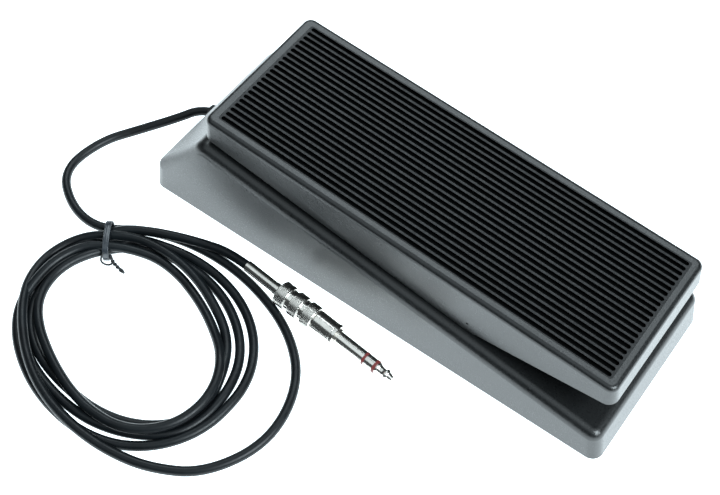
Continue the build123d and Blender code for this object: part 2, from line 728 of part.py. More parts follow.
def report_tube(label, route, made):
    length = sum(edge.length for edge in route.edges())
    ratio = made.part.volume / (pi * CABLE_R**2 * length)
    print(label, "length", round(length, 1), "volume over section times length", round(ratio, 4))


with BuildPart() as inner_cable:
    with BuildLine() as inner_route:
        FilletPolyline(*CABLE_INSIDE, radius=bend_radii("inner_cable", CABLE_INSIDE))
    with BuildSketch(inner_route.line ^ 0):
        Circle(CABLE_R)
    sweep(path=inner_route.line)
save(inner_cable, "inner_cable")

with BuildPart() as signal_wires:
    for wire, terminal_z in enumerate(TERMINAL_Z):
        start_z = CABLE_INSIDE[-1][2] + 1.2 * (wire - 1)
        rise_x = -19.0 - 3.0 * wire
        wire_points = [
            (CABLE_INSIDE[-1][0], TERMINAL_Y, start_z),
            (rise_x, TERMINAL_Y, start_z),
            (rise_x, TERMINAL_Y, terminal_z),
            (BLOCK_X - TAB_L, TERMINAL_Y, terminal_z),
        ]
        with BuildLine() as wire_route:
            FilletPolyline(*wire_points, radius=1.2)
        with BuildSketch(wire_route.line ^ 0):
            Circle(WIRE_R)
        sweep(path=wire_route.line)
save(signal_wires, "signal_wires")

CLAMP_HALF_L = 3.5
CLAMP_R = CABLE_Z - PLATE_Z

with BuildPart() as cable_clamp:
    with BuildSketch(Plane.YZ.offset(CLAMP_X)):
        with Locations((CABLE_Y, CABLE_Z)):
            Circle(CLAMP_R)
        with Locations((CABLE_Y, PLATE_Z)):
            Rectangle(12.5, 1.5, align=(Align.MIN, Align.MIN))
        with Locations((CABLE_Y, CABLE_Z)):
            Circle(CABLE_R, mode=Mode.SUBTRACT)
    extrude(amount=CLAMP_HALF_L, both=True)
    with Locations((CLAMP_X, CLAMP_SCREW_Y, PLATE_Z)):
        Cylinder(POT_SCREW_R + 0.1, 6, mode=Mode.SUBTRACT)
save(cable_clamp, "cable_clamp")

with BuildPart() as cable_clamp_screw:
    with Locations((CLAMP_X, CLAMP_SCREW_Y, PLATE_Z + 1.5)):
        Cylinder(2.3, 1.6, align=(Align.CENTER, Align.CENTER, Align.MIN))
        Cylinder(POT_SCREW_R, 3.0, align=(Align.CENTER, Align.CENTER, Align.MAX))
    with BuildSketch(Plane.XY.offset(PLATE_Z + 3.1)):
        with Locations((CLAMP_X, CLAMP_SCREW_Y)):
            drive_slots(1.3)
    extrude(amount=-0.9, mode=Mode.SUBTRACT)
save(cable_clamp_screw, "cable_clamp_screw")

boot_plane = Plane(origin=(0, CABLE_Y, CABLE_Z), x_dir=(1, 0, 0), z_dir=(0, -1, 0))
BOOT_END = -125.5
BOOT_PROFILE = [
    (-116.4, CABLE_R),
    (-116.4, 3.95),
    (-117.9, 3.95),
    (-117.9, GROMMET_R),
    (-122.3, GROMMET_R),
    (-122.3, 4.0),
    (-123.6, 4.0),
    (-123.6, 3.5),
    (BOOT_END, 3.1),
    (BOOT_END, CABLE_R),
]

with BuildPart() as strain_relief:
    revolve(outline(boot_plane, BOOT_PROFILE), axis=Axis((0, CABLE_Y, CABLE_Z), (1, 0, 0)))
save(strain_relief, "strain_relief")

# ------------------------------------------------------------------ cable outside the housing
CABLE_LEAD = [
    (EXIT_X, CABLE_Y, CABLE_Z),
    (-130.4, 0.0, 7.3),
    (-137.0, -9.8, 5.4),
    (-149.0, -25.4, 3.0),
    (-160.2, -41.8, CABLE_R),
    (-162.8, -66.0, CABLE_R),
    (-143.7, -79.3, CABLE_R),
    (-124.3, -80.7, CABLE_R),
    (-105.8, -66.7, CABLE_R),
    (-78.0, -59.6, CABLE_R),
    (-49.5, -60.7, CABLE_R),
    (-19.8, -70.3, CABLE_R),
    (0.5, -88.4, CABLE_R),
    (7.2, -117.4, CABLE_R),
    (-5.6, -144.5, CABLE_R),
    (-25.9, -156.6, CABLE_R),
    (-60.0, -161.0, CABLE_R),
]
CABLE_PLUG_END = [
    (-116.0, -77.0, 5.6),
    (-104.4, -69.7, 6.0),
    (-91.0, -63.8, 6.0),
    (-78.0, -59.4, 6.0),
    (-65.5, -56.2, 6.0),
    (-54.1, -56.8, 6.0),
]

with BuildPart() as cord_lead:
    with BuildLine() as lead_route:
        FilletPolyline(*CABLE_LEAD, radius=bend_radii("cord_lead", CABLE_LEAD))
    with BuildSketch(lead_route.line ^ 0):
        Circle(CABLE_R)
    sweep(path=lead_route.line)
    report_tube("cord_lead", lead_route, cord_lead)
save(cord_lead, "cord_lead")

with BuildPart() as cord_plug_end:
    with BuildLine() as plug_route:
        FilletPolyline(*CABLE_PLUG_END, radius=bend_radii("cord_plug_end", CABLE_PLUG_END))
    with BuildSketch(plug_route.line ^ 0):
        Circle(CABLE_R)
    sweep(path=plug_route.line)
    report_tube("cord_plug_end", plug_route, cord_plug_end)
save(cord_plug_end, "cord_plug_end")

COIL_CENTRE = (-75.3, -113.7)
COIL_OUTER = (61.6, 50.0)
COIL_INNER = (44.4, 32.2)

with BuildPart() as cord_coil:
    with BuildSketch():
        with Locations(COIL_CENTRE):
            Ellipse(*COIL_OUTER)
        with Locations((COIL_CENTRE[0], COIL_CENTRE[1] - 2)):
            Ellipse(*COIL_INNER, mode=Mode.SUBTRACT)
    extrude(amount=COIL_H)
    fillet(cord_coil.edges(), CABLE_R)
save(cord_coil, "cord_coil")

TIE_T = 0.9
TIE_W = 2.6
tie_plane = Plane(origin=(-116.2, -83.7, 0), x_dir=(-0.587, 0.810, 0), z_dir=(0.810, 0.587, 0))
TIE_SPAN = (-10.5, 10.0)

with BuildPart() as twist_tie:
    with BuildSketch(tie_plane):
        with BuildLine():
            Polyline(
                (TIE_SPAN[0], 0), (TIE_SPAN[1], 0), (TIE_SPAN[1], COIL_H + TIE_T),
                (TIE_SPAN[0], COIL_H + TIE_T), close=True,
            )
        make_face()
        with BuildLine():
            Polyline(
                (TIE_SPAN[0] + TIE_T, TIE_T / 2), (TIE_SPAN[1] - TIE_T, TIE_T / 2),
                (TIE_SPAN[1] - TIE_T, COIL_H), (TIE_SPAN[0] + TIE_T, COIL_H), close=True,
            )
        make_face(mode=Mode.SUBTRACT)
    extrude(amount=TIE_W / 2, both=True)
    with Locations(tie_plane.offset(TIE_W / 2)):
        with Locations((-6.5, COIL_H + TIE_T / 2)):
            Box(3.2, 2.4, 9.0, align=(Align.CENTER, Align.CENTER, Align.MIN))
save(twist_tie, "twist_tie")

# ------------------------------------------------------------------ stereo plug on the cable
PLUG_TURN = radians(-5.2)
PLUG_REAR = CABLE_PLUG_END[-1]
along_plug = (cos(PLUG_TURN), sin(PLUG_TURN), 0)
plug_axis = Axis(PLUG_REAR, along_plug)
plug_side = Plane(origin=PLUG_REAR, x_dir=along_plug, z_dir=(sin(PLUG_TURN), -cos(PLUG_TURN), 0))
JACK_R = 3.175
PIN_R = 1.0


def turned(points):
    """A solid turned about the plug's axis from stations and radii along it."""
    return revolve(outline(plug_side, points), axis=plug_axis, mode=Mode.PRIVATE)


STRAIN_TUBE_R = 2.7
with BuildPart() as plug_strain_tube:
    add(turned([(0, 0), (0, STRAIN_TUBE_R), (17.8, STRAIN_TUBE_R), (17.8, 2.9), (20.8, 2.9), (20.8, 0)]))
save(plug_strain_tube, "plug_strain_tube")

KNURLS = [(21.0, 26.8, 6.0), (29.3, 34.8, 6.0), (36.8, 42.3, 5.9)]
NECK_R = 4.9
BARREL_R = 5.15
BARREL_END = 53.8

with BuildPart() as plug_barrel:
    barrel_profile = [(20.8, 0), (20.8, NECK_R)]
    for knurl_from, knurl_to, knurl_r in KNURLS:
        barrel_profile += [
            (knurl_from, NECK_R),
            (knurl_from, knurl_r - 0.5),
            (knurl_from + 0.5, knurl_r),
            (knurl_to - 0.5, knurl_r),
            (knurl_to, knurl_r - 0.5),
            (knurl_to, NECK_R),
        ]
    barrel_profile += [(43.0, NECK_R), (43.0, BARREL_R), (BARREL_END - 0.6, BARREL_R)]
    barrel_profile += [(BARREL_END, BARREL_R - 0.5), (BARREL_END, 0)]
    add(turned(barrel_profile))
save(plug_barrel, "plug_barrel")

with BuildPart() as plug_collar:
    add(turned([(53.8, 0), (53.8, 5.5), (55.3, 5.5), (55.3, 3.9), (56.3, 3.9), (56.3, PIN_R), (54.6, PIN_R),
                (54.6, 0)]))
save(plug_collar, "plug_collar")

SLEEVE_END = 71.3
RING_FROM = 72.6
RING_END = 77.1
TIP_FROM = 78.5
PLUG_L = 87.7
NOSE_R = 1.4

with BuildPart() as plug_sleeve:
    add(turned([(56.3, PIN_R), (56.3, JACK_R), (SLEEVE_END, JACK_R), (SLEEVE_END, PIN_R)]))
save(plug_sleeve, "plug_sleeve")

with BuildPart() as plug_insulators:
    for station_from, station_to in ((SLEEVE_END, RING_FROM), (RING_END, TIP_FROM)):
        add(turned([(station_from, PIN_R), (station_from, JACK_R), (station_to, JACK_R),
                    (station_to, PIN_R)]))
save(plug_insulators, "plug_insulators")

with BuildPart() as plug_ring:
    add(turned([(RING_FROM, PIN_R), (RING_FROM, JACK_R), (RING_END, JACK_R), (RING_END, PIN_R)]))
save(plug_ring, "plug_ring")

with BuildPart() as plug_tip:
    with BuildSketch(plug_side):
        with BuildLine():
            Line((54.6, 0), (54.6, PIN_R))
            Line((54.6, PIN_R), (TIP_FROM, PIN_R))
            Line((TIP_FROM, PIN_R), (TIP_FROM, 2.9))
            Line((TIP_FROM, 2.9), (79.3, 2.9))
            ThreePointArc((79.3, 2.9), (81.2, 2.05), (83.3, 2.75))
            ThreePointArc((83.3, 2.75), (84.2, 2.6), (85.0, 2.0))
            nose = CenterArc((PLUG_L - NOSE_R, 0), NOSE_R, 0, 64.6)
            Line((85.0, 2.0), nose @ 1)
            Line((PLUG_L, 0), (54.6, 0))
        make_face()
    revolve(axis=plug_axis)
save(plug_tip, "plug_tip")
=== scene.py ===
import json
import math

import bpy
from mathutils import Matrix, Vector


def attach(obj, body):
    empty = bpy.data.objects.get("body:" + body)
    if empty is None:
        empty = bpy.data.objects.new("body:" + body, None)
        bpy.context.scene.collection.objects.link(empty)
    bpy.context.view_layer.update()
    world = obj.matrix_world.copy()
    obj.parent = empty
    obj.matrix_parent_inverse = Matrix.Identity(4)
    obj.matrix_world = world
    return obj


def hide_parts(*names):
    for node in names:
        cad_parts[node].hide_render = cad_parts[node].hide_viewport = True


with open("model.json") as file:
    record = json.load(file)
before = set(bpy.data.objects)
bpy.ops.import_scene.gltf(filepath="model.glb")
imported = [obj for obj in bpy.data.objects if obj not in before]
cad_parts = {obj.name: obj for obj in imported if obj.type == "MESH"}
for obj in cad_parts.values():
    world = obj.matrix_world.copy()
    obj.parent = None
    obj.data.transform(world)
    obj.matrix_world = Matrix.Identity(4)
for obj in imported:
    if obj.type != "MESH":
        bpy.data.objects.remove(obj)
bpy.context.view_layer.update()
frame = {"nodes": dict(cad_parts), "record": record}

MM = 0.001


# ---------------------------------------------------------------- camera
CAMERA_AT = (166.6, -265.7, 481.2)
CAMERA_AZIMUTH = 36.88
CAMERA_ELEVATION = 56.96
CAMERA_ROLL = -0.48
LENS = 61.63


def add_camera():
    az, el, roll = (math.radians(a) for a in (CAMERA_AZIMUTH, CAMERA_ELEVATION, CAMERA_ROLL))
    ahead = Vector((-math.sin(az) * math.cos(el), math.cos(az) * math.cos(el), -math.sin(el)))
    level = Vector((math.cos(az), math.sin(az), 0))
    up = level.cross(ahead)
    right = math.cos(roll) * level + math.sin(roll) * up
    up = right.cross(ahead)
    place = Matrix((right, up, -ahead)).transposed().to_4x4()
    place.translation = Vector(CAMERA_AT) * MM
    data = bpy.data.cameras.new("camera")
    data.lens = LENS
    data.sensor_width = 36.0
    data.clip_start = 0.01
    camera = bpy.data.objects.new("camera", data)
    camera.matrix_world = place
    bpy.context.collection.objects.link(camera)
    bpy.context.scene.camera = camera


add_camera()


# ---------------------------------------------------------------- material helpers
class Look:
    """A node material on one Principled shader, with helpers for its textures."""

    def __init__(self, name):
        self.material = bpy.data.materials.new(name)
        self.material.use_nodes = True
        self.nodes = self.material.node_tree.nodes
        self.links = self.material.node_tree.links
        self.shader = self.nodes["Principled BSDF"]
        self.coords = self.nodes.new("ShaderNodeTexCoord").outputs["Object"]
        self.height = None

    def set(self, **values):
        for name, value in values.items():
            self.shader.inputs[name.replace("_", " ")].default_value = value
        return self

    def noise(self, size, detail=2.0, stretch=None):
        """Noise whose features are about size millimetres across."""
        texture = self.nodes.new("ShaderNodeTexNoise")
        texture.inputs["Scale"].default_value = 1.0 / (size * MM)
        texture.inputs["Detail"].default_value = detail
        coords = self.coords
        if stretch:
            mapping = self.nodes.new("ShaderNodeMapping")
            mapping.inputs["Scale"].default_value = stretch
            self.links.new(coords, mapping.inputs["Vector"])
            coords = mapping.outputs["Vector"]
        self.links.new(coords, texture.inputs["Vector"])
        return texture.outputs["Fac"]

    def ranged(self, value, low, high, start=0.3, end=0.7):
        """value, from start to end, mapped onto low to high."""
        mapped = self.nodes.new("ShaderNodeMapRange")
        mapped.inputs["From Min"].default_value = start
        mapped.inputs["From Max"].default_value = end
        mapped.inputs["To Min"].default_value = low
        mapped.inputs["To Max"].default_value = high
        self.links.new(value, mapped.inputs["Value"])
        return mapped.outputs["Result"]

    def colours(self, value, first, second, start=0.35, end=0.65):
        ramp = self.nodes.new("ShaderNodeValToRGB")
        ramp.color_ramp.elements[0].position = start
        ramp.color_ramp.elements[1].position = end
        ramp.color_ramp.elements[0].color = (*first, 1)
        ramp.color_ramp.elements[1].color = (*second, 1)
        self.links.new(value, ramp.inputs["Fac"])
        self.links.new(ramp.outputs["Color"], self.shader.inputs["Base Color"])
        return self

    def rough(self, value, low, high):
        self.links.new(self.ranged(value, low, high), self.shader.inputs["Roughness"])
        return self

    def bump(self, value, depth, strength=1.0):
        """Relief of depth millimetres, on top of any bump so far."""
        node = self.nodes.new("ShaderNodeBump")
        node.inputs["Distance"].default_value = depth * MM
        node.inputs["Strength"].default_value = strength
        self.links.new(value, node.inputs["Height"])
        if self.height:
            self.links.new(self.height, node.inputs["Normal"])
        self.height = node.outputs["Normal"]
        self.links.new(self.height, self.shader.inputs["Normal"])
        return self


def moulded_black():
    """Black plastic with the fine sparkle of a spark-eroded mould."""
    look = Look("moulded_black")
    look.set(Specular_IOR_Level=0.5)
    grain = look.noise(0.55, 3.0)
    look.colours(look.noise(18, 3.0), (0.0036, 0.0041, 0.0044), (0.0056, 0.0063, 0.0067))
    look.rough(grain, 0.26, 0.40)
    look.bump(look.noise(9.0, 2.0), 0.05, 0.4)
    return look.bump(grain, 0.06, 0.55).material


MAT_TOP = Vector((38.0, 0.0, 57.15)) * MM  # a point on the tops of the ribs
MAT_UP = (0.08437, 0.0, 0.99643)
MAT_GROOVE = 1.3 * MM


def ribbed_rubber():
    """Rubber with a worn sheen on top of its ribs, and grooves painted darker as shade."""
    look = Look("ribbed_rubber")
    depth = look.nodes.new("ShaderNodeVectorMath")
    depth.operation = "DOT_PRODUCT"
    depth.inputs[1].default_value = MAT_UP
    look.links.new(look.coords, depth.inputs[0])
    top = MAT_TOP.dot(Vector(MAT_UP))
    # Painted shade: by height, the colour runs from near black on the groove floors up to the rib tops'
    # tone, standing in for shade in the grooves; the grooves also get little specular.
    rib_height_painted_groove_shade = look.ranged(depth.outputs["Value"], 0.0, 1.0, top - 0.6 * MAT_GROOVE, top)
    look.colours(rib_height_painted_groove_shade, (0.0008, 0.0009, 0.0010), (0.0032, 0.0036, 0.0042), 0.0, 1.0)
    look.links.new(look.ranged(rib_height_painted_groove_shade, 0.02, 0.30, 0.0, 1.0), look.shader.inputs["Specular IOR Level"])
    look.rough(look.noise(1.2, 3.0), 0.34, 0.50)
    return look.bump(look.noise(0.35, 2.0), 0.03, 0.5).material


def cable_jacket():
    look = Look("cable_jacket")
    look.set(Specular_IOR_Level=0.22)
    look.colours(look.noise(14, 3.0), (0.003, 0.004, 0.005), (0.006, 0.008, 0.0095))
    look.rough(look.noise(2.0, 3.0), 0.30, 0.42)
    return look.bump(look.noise(0.5, 3.0), 0.02, 0.4).material


def plain_rubber(name, tone, size=0.6):
    look = Look(name)
    look.set(Specular_IOR_Level=0.4)
    look.colours(look.noise(8, 3.0), tuple(c * 0.8 for c in tone), tuple(c * 1.25 for c in tone))
    look.rough(look.noise(1.5, 2.0), 0.55, 0.72)
    return look.bump(look.noise(size, 2.0), 0.04, 0.5).material


def metal(name, tone, rough, stretch=(1, 1, 1), relief=0.01):
    """Bare or plated metal with fine marks drawn out along one axis."""
    look = Look(name)
    look.set(Metallic=1.0)
    look.colours(look.noise(7, 3.0), tuple(c * 0.86 for c in tone), tone)
    marks = look.noise(0.8, 4.0, stretch)
    look.rough(marks, rough * 0.7, rough * 1.3)
    return look.bump(marks, relief, 0.5).material


def plastic(name, tone, rough=0.4):
    look = Look(name)
    look.colours(look.noise(5, 3.0), tuple(c * 0.85 for c in tone), tone)
    look.rough(look.noise(1.0, 2.0), rough * 0.8, rough * 1.2)
    return look.bump(look.noise(0.8, 2.0), 0.02, 0.4).material


def powder_coat():
    look = Look("powder_coat")
    look.colours(look.noise(12, 3.0), (0.012, 0.012, 0.013), (0.020, 0.020, 0.022))
    look.rough(look.noise(1.4, 3.0), 0.42, 0.60)
    return look.bump(look.noise(0.9, 2.0), 0.08, 0.6).material


LOOKS = {
    "body_black": moulded_black(),
    "plate_black": powder_coat(),
    "zinc": metal("zinc_plate", (0.66, 0.67, 0.66), 0.32),
    "steel": metal("turned_steel", (0.56, 0.57, 0.58), 0.26, (1, 6, 1)),
    "rubber_black": plain_rubber("bumper_rubber", (0.018, 0.018, 0.018)),
    "mat_black": ribbed_rubber(),
    "nylon_white": plastic("natural_nylon", (0.74, 0.72, 0.66)),
    "nylon_black": plastic("black_nylon", (0.022, 0.022, 0.023)),
    "pot_grey": plastic("pot_housing", (0.10, 0.11, 0.12), 0.5),
    "tinned": metal("tinned_brass", (0.72, 0.71, 0.68), 0.30),
    "cable_black": cable_jacket(),
    "wire_cover": plastic("wire_cover", (0.32, 0.03, 0.02), 0.35),
    "boot_rubber": plain_rubber("boot_rubber", (0.016, 0.017, 0.018)),
    "tie_black": plastic("tie_plastic", (0.028, 0.033, 0.040), 0.24),
    "plug_nickel": metal("bright_nickel", (0.82, 0.79, 0.74), 0.20, (4, 1, 1), 0.0015),
    "insulator_red": plastic("insulator_red", (0.17, 0.030, 0.028), 0.35),
}


def finish(piece, slot_name, body):
    piece.data.materials.clear()
    piece.data.materials.append(LOOKS[slot_name])
    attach(piece, body)


def dress_cad_nodes():
    """Every carried-over CAD node gets its slot's material."""
    for entry in frame["record"]["subparts"]:
        node = frame["nodes"][entry["node"]]
        for slot in node.material_slots:
            slot.material = LOOKS[entry["material_slot"]]
        if not node.material_slots:
            node.data.materials.append(LOOKS[entry["material_slot"]])


# ---------------------------------------------------------------- cable
CABLE_R = 2.25
LEAD = [
    (-122.4, 2.0, 8.0),
    (-130.4, 0.0, 7.3),
    (-137.0, -9.8, 5.4),
    (-149.0, -25.4, 3.0),
    (-160.2, -41.8, 2.25),
    (-162.8, -66.0, 2.25),
    (-143.7, -79.3, 2.25),
    (-124.3, -80.7, 2.25),
    (-105.8, -66.7, 2.25),
    (-78.0, -59.6, 2.25),
    (-49.5, -60.7, 2.25),
    (-19.8, -70.3, 2.25),
    (0.5, -88.4, 2.25),
    (7.2, -117.4, 2.25),
    (-5.6, -144.5, 2.25),
    (-25.9, -156.6, 2.9),
]
PLUG_END = [
    (-116.0, -77.0, 5.6),
    (-104.4, -69.7, 6.0),
    (-91.0, -63.8, 6.0),
    (-78.0, -59.4, 6.0),
    (-65.5, -56.2, 6.0),
    (-54.1, -56.8, 6.0),
]

# The coil's turns, clockwise. Each turn starts at an angle about the coil and has a station
# every STEP degrees: how far inside the outer ellipse the cable lies there, and its height.
COIL_CENTRE = (-70.3, -111.9)
COIL_HALF = (55.6, 44.35)
TIE_ANGLE = 145.0
TIE_PULL = 5.7
TIE_SPREAD = 32.0
STEP = 15
TURNS = [
    # from the lead, over the coil and round its near side
    (-65, [
        (-9.8, 4.8), (-6.9, 6.8), (-4.5, 6.8), (-2.7, 6.8), (-1.3, 6.8), (-1.0, 6.8),
        (-2.6, 6.4), (-6.1, 4.6), (-8.8, 2.4), (-6.4, 3.4),
    ]),
    # inward under the tie, then the second from the middle
    (145, [
        (0.6, 6.8), (2.7, 6.8), (4.5, 6.8), (6.4, 6.8), (9.0, 6.8), (11.1, 4.6),
        (11.9, 2.25), (12.9, 2.25), (13.9, 2.25), (13.7, 2.25), (11.6, 2.25), (9.0, 2.25),
        (6.2, 2.25), (5.5, 2.25), (5.3, 2.25), (5.6, 2.25), (6.0, 2.25), (5.1, 2.25),
        (3.3, 2.25), (1.8, 2.25), (0.7, 2.25), (0.4, 2.25), (0.1, 2.25), (0.6, 2.25),
    ]),
    # the outer turn
    (145, [
        (0.1, 2.25), (0.2, 2.25), (0.3, 2.25), (-0.5, 2.25), (-0.6, 2.25), (-0.3, 2.25),
        (0.2, 2.25), (0.9, 2.25), (1.7, 2.25), (2.3, 2.25), (2.5, 2.25), (0.7, 2.25),
        (-1.6, 2.25), (-4.0, 2.25), (-5.6, 2.25), (-5.6, 2.25), (-4.9, 2.25), (-4.4, 2.25),
        (-4.2, 2.25), (-4.8, 2.4), (-4.9, 3.8), (-2.1, 6.2), (-1.2, 6.6), (1.4, 6.7),
    ]),
    # the inner turn, on top where the turns bunch
    (145, [
        (7.2, 6.8), (8.9, 5.8), (8.5, 4.0), (10.2, 2.4), (13.4, 2.25), (15.7, 2.25),
        (16.9, 2.8), (16.6, 4.7), (15.4, 6.8), (13.8, 6.8), (11.5, 6.8), (8.2, 6.8),
        (4.4, 6.8), (1.5, 6.8), (0.8, 6.8), (2.9, 6.8), (5.3, 6.8), (7.2, 6.8),
        (7.6, 6.6), (6.3, 6.4), (4.3, 6.4), (3.5, 6.4), (4.0, 6.5), (6.4, 6.5),
    ]),
    # between those, and out to the plug
    (145, [
        (5.5, 2.25), (4.9, 2.25), (4.1, 2.25), (3.9, 2.25), (4.2, 2.25), (5.2, 2.25),
        (6.3, 2.25), (7.1, 2.25), (7.7, 2.25), (8.0, 2.25), (7.2, 2.25), (4.7, 2.25),
        (1.7, 2.25), (0.9, 2.25), (0.6, 2.25), (0.4, 2.25), (0.5, 2.25), (0.1, 2.25),
        (-1.2, 2.25), (-2.5, 2.25), (-3.8, 2.25), (-4.6, 2.25), (-4.6, 2.25), (-3.4, 2.25),
    ]),
]


def coil_point(angle, inset, height):
    """A place on the coil, which the tie pulls up out of its ellipse."""
    turn = math.radians(angle)
    half_x, half_y = COIL_HALF
    outward = Vector((half_y * math.cos(turn), half_x * math.sin(turn))).normalized()
    from_tie = (angle - TIE_ANGLE + 180) % 360 - 180
    pull = TIE_PULL * math.exp(-((from_tie / TIE_SPREAD) ** 2))
    x = COIL_CENTRE[0] + half_x * math.cos(turn) - inset * outward.x
    y = COIL_CENTRE[1] + half_y * math.sin(turn) - inset * outward.y + pull
    return (x, y, height)


def coil_points():
    points = []
    for first_angle, stations in TURNS:
        for count, (inset, height) in enumerate(stations):
            points.append(coil_point(first_angle - count * STEP, inset, height))
    return points


def make_cable():
    route = LEAD + coil_points() + PLUG_END
    curve = bpy.data.curves.new("cable", "CURVE")
    curve.dimensions = "3D"
    spline = curve.splines.new("NURBS")
    spline.points.add(len(route) - 1)
    for point, place in zip(spline.points, route):
        point.co = (*(Vector(place) * MM), 1.0)
    spline.order_u = 3
    spline.use_endpoint_u = True
    spline.resolution_u = 8
    curve.bevel_depth = CABLE_R * MM
    curve.bevel_resolution = 6
    curve.use_fill_caps = True
    cable = bpy.data.objects.new("cable", curve)
    bpy.context.collection.objects.link(cable)
    return cable


cable = make_cable()
finish(cable, "cable_black", "housing")
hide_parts("cord_lead", "cord_coil", "cord_plug_end")

# ---------------------------------------------------------------- wire tie
TIE_AT = (-116.2, -83.7)
TIE_ALONG = Vector((0.81, 0.587, 0))  # along the cables it holds
TIE_ACROSS = Vector((-0.587, 0.81, 0))  # towards the pedal


def tie_place(along, across, height):
    return (Vector((*TIE_AT, 0)) + TIE_ALONG * along + TIE_ACROSS * across + Vector((0, 0, height))) * MM


def smooth_loop(corners, rounds=3):
    """A closed line of points with its corners cut again and again."""
    for _ in range(rounds):
        cut = []
        for here, after in zip(corners, corners[1:] + corners[:1]):
            here, after = Vector(here), Vector(after)
            cut += [here.lerp(after, 0.25), here.lerp(after, 0.75)]
        corners = cut
    return corners


def add_mesh(name, verts, faces, smooth=True):
    data = bpy.data.meshes.new(name)
    data.from_pydata(verts, [], faces)
    data.validate()
    for face in data.polygons:
        face.use_smooth = smooth
    piece = bpy.data.objects.new(name, data)
    bpy.context.collection.objects.link(piece)
    return piece


# The strap's line round the bundle: across it and up, as seen along the cables.
STRAP_LINE = [(9.6, 0.2), (10.4, 3.0), (9.6, 6.6), (6.6, 9.0), (1.0, 9.6), (-4.0, 9.6), (-7.4, 9.0),
              (-9.3, 6.4), (-9.5, 2.6), (-8.5, 0.2), (-4.0, 0.05), (4.0, 0.05)]
# The strap's section: along the cables and outward. Both its edges and its middle are raised.
STRAP_SECTION = [(-1.45, 0.0), (-1.45, 0.22), (-1.15, 0.42), (-0.75, 0.30), (-0.35, 0.36), (0.0, 0.40),
                 (0.35, 0.36), (0.75, 0.30), (1.15, 0.42), (1.45, 0.22), (1.45, 0.0)]
STRAP_MIDDLE = Vector((0, 4.6))
STRAP_TOP = 9.6
STRAP_LEAN = 0.5  # how far its top lies along the cables from its foot
STRAP_FLOOR = 0.05


def make_strap():
    line = smooth_loop(STRAP_LINE)
    count, width = len(line), len(STRAP_SECTION)
    verts, faces = [], []
    for n, here in enumerate(line):
        run = line[(n + 1) % count] - line[n - 1]
        outward = Vector((-run.y, run.x)).normalized()
        if outward.dot(here - STRAP_MIDDLE) < 0:
            outward = -outward
        lean = STRAP_LEAN * here.y / STRAP_TOP
        for along, out in STRAP_SECTION:
            place = here + outward * out
            verts.append(tie_place(along + lean, place.x, max(place.y, STRAP_FLOOR)))
        for side in range(width):
            after = (side + 1) % width
            faces.append((n * width + side, n * width + after, (n + 1) % count * width + after,
                          (n + 1) % count * width + side))
    return add_mesh("wire_tie", verts, faces)


WIRE_SIDES = 10
STRAND_GAP = 0.85  # how far from the middle each of two wires lies, in wire radii


def make_wire(name, points, radius, twist=0.0, strands=1):
    """One or more round wires along a smooth line, wound round it by twist radians a point."""
    guide = bpy.data.curves.new(name + "_guide", "CURVE")
    guide.dimensions = "3D"
    spline = guide.splines.new("NURBS")
    spline.points.add(len(points) - 1)
    for point, place in zip(spline.points, points):
        point.co = (*place, 1.0)
    spline.order_u = 3
    spline.use_endpoint_u = True
    spline.resolution_u = 8
    holder = bpy.data.objects.new(name + "_guide", guide)
    line = [vert.co.copy() for vert in bpy.data.meshes.new_from_object(holder).vertices]
    bpy.data.objects.remove(holder)
    sides = WIRE_SIDES
    verts, faces = [], []
    for strand in range(strands):
        start = len(verts)
        for n, here in enumerate(line):
            run = (line[min(n + 1, len(line) - 1)] - line[max(n - 1, 0)]).normalized()
            level = run.cross(Vector((0, 0, 1))).normalized()
            up = level.cross(run)
            phase = n * twist + strand * math.pi
            offset = radius * STRAND_GAP * MM if strands > 1 else 0
            centre = here + (level * math.cos(phase) + up * math.sin(phase)) * offset
            for side in range(sides):
                turn = 2 * math.pi * side / sides
                verts.append(centre + (level * math.cos(turn) + up * math.sin(turn)) * radius * MM)
        for n in range(len(line) - 1):
            for side in range(sides):
                a, b = start + n * sides + side, start + n * sides + (side + 1) % sides
                faces.append((a, b, b + sides, a + sides))
        faces.append(tuple(range(start + sides - 1, start - 1, -1)))
        last = start + (len(line) - 1) * sides
        faces.append(tuple(range(last, last + sides)))
    return add_mesh(name, verts, faces)


strap = make_strap()
finish(strap, "tie_black", "housing")
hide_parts("twist_tie")
tie_loop = make_wire("tie_loop", [tie_place(*p) for p in [
    (0.0, -8.4, 7.6), (-1.6, -9.6, 5.4), (-2.2, -10.4, 3.0), (-1.0, -11.1, 1.4), (1.1, -11.5, 1.0),
    (2.9, -11.2, 1.6), (3.5, -10.4, 3.4), (2.8, -9.2, 6.0)]], 0.5)
finish(tie_loop, "boot_rubber", "housing")
tie_tail = make_wire("tie_tail", [tie_place(*p) for p in [
    (2.6, -9.6, 5.0), (3.4, -10.8, 3.4), (4.6, -12.0, 2.0), (6.7, -13.9, 1.3), (8.8, -15.8, 1.3)]],
    0.55, twist=0.45, strands=2)
finish(tie_tail, "boot_rubber", "housing")


# ---------------------------------------------------------------- knurled barrel of the plug
PLUG_REAR = Vector((-54.1, -56.8, 6.0))
PLUG_TURN = math.radians(-5.2)
KNURLS = [(21.0, 26.8, 6.0), (29.3, 34.8, 6.0), (36.8, 42.3, 5.9)]
NECK_R = 4.9
BARREL_R = 5.15
BARREL_END = 53.8
KNURL_TEETH = 44
KNURL_DEPTH = 0.34
KNURL_LEAD = 4.9  # millimetres along for each radian round
KNURL_STEPS = 26
SIDES = 4 * KNURL_TEETH


